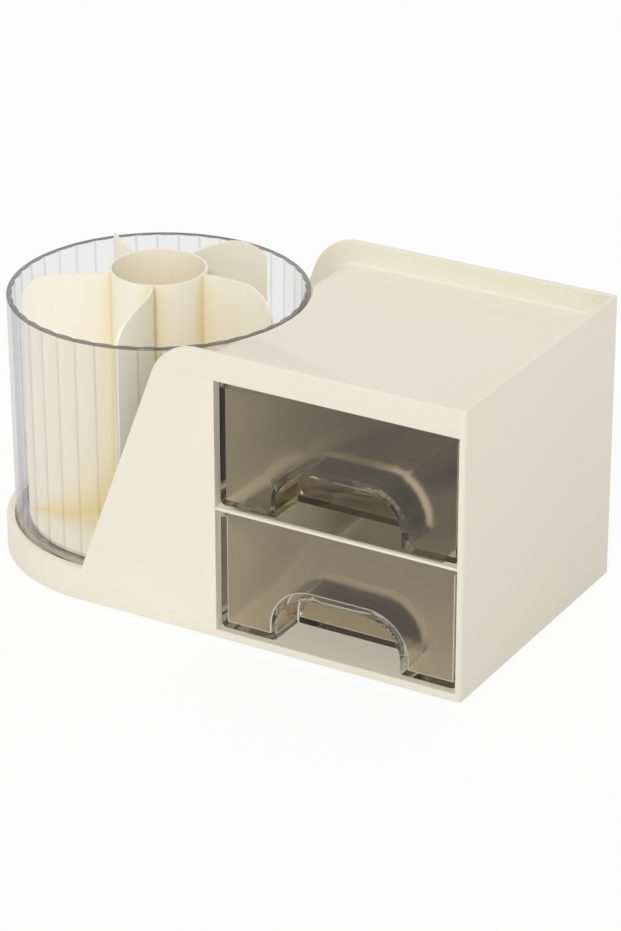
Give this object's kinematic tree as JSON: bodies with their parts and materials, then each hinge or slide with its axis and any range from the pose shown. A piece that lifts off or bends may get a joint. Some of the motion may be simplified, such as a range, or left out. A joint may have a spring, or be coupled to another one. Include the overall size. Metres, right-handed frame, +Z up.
{
  "type": "rotating desk organizer with drawers",
  "caption": "Cream desk organizer: a clear ribbed pen drum with a bladed insert turns in a round tray beside a cabinet with clear drawers and a recessed top.",
  "frame": {"origin": "on the table, under the middle of the footprint's length and depth", "axes": "+Z up; drawers open towards -Y; the drum stands at the -X end"},
  "size_m": [0.2346, 0.127, 0.121],
  "materials": {
    "cream_plastic": "fine satin moulding",
    "clear_plastic": "polished, clear",
    "smoky_plastic": "polished, lightly smoked",
    "acetal": "as moulded",
    "steel": "bright zinc",
    "rubber": "matt"
  },
  "bodies": {
    "cabinet": {"housing": "cream_plastic", "bottom_plate": "cream_plastic", "plate_screws": "steel", "rubber_feet": "rubber", "spindle_bush": "acetal", "lower_race": "steel", "rail_frame": "cream_plastic"},
    "drum_unit": {"drum": "clear_plastic", "divider_insert": "cream_plastic", "turntable_disc": "cream_plastic", "retaining_clip": "steel", "upper_race": "steel", "centre_washer": "steel", "centre_screw": "steel"},
    "ball_ring": {"ball_cage": "acetal", "bearing_balls": "steel"},
    "upper_drawer": {"drawer_upper": "smoky_plastic"},
    "lower_drawer": {"drawer_lower": "smoky_plastic"}
  },
  "joints": [
    {"name": "drum_spin", "type": "hinge", "parent": "cabinet", "child": "drum_unit", "pos_m": [-0.05375, 0, 0.0091], "axis": [0, 0, 1], "continuous": true},
    {"name": "ball_ring_spin", "type": "hinge", "parent": "cabinet", "child": "ball_ring", "pos_m": [-0.05375, 0, 0.0091], "axis": [0, 0, 1], "continuous": true},
    {"name": "upper_drawer_slide", "type": "slide", "parent": "cabinet", "child": "upper_drawer", "axis": [0, -1, 0], "range_m": [0, 0.095]},
    {"name": "lower_drawer_slide", "type": "slide", "parent": "cabinet", "child": "lower_drawer", "axis": [0, -1, 0], "range_m": [0, 0.095]}
  ],
  "couplings": [
    {"joint": "ball_ring_spin", "follows": "drum_spin", "ratio": 0.5}
  ]
}
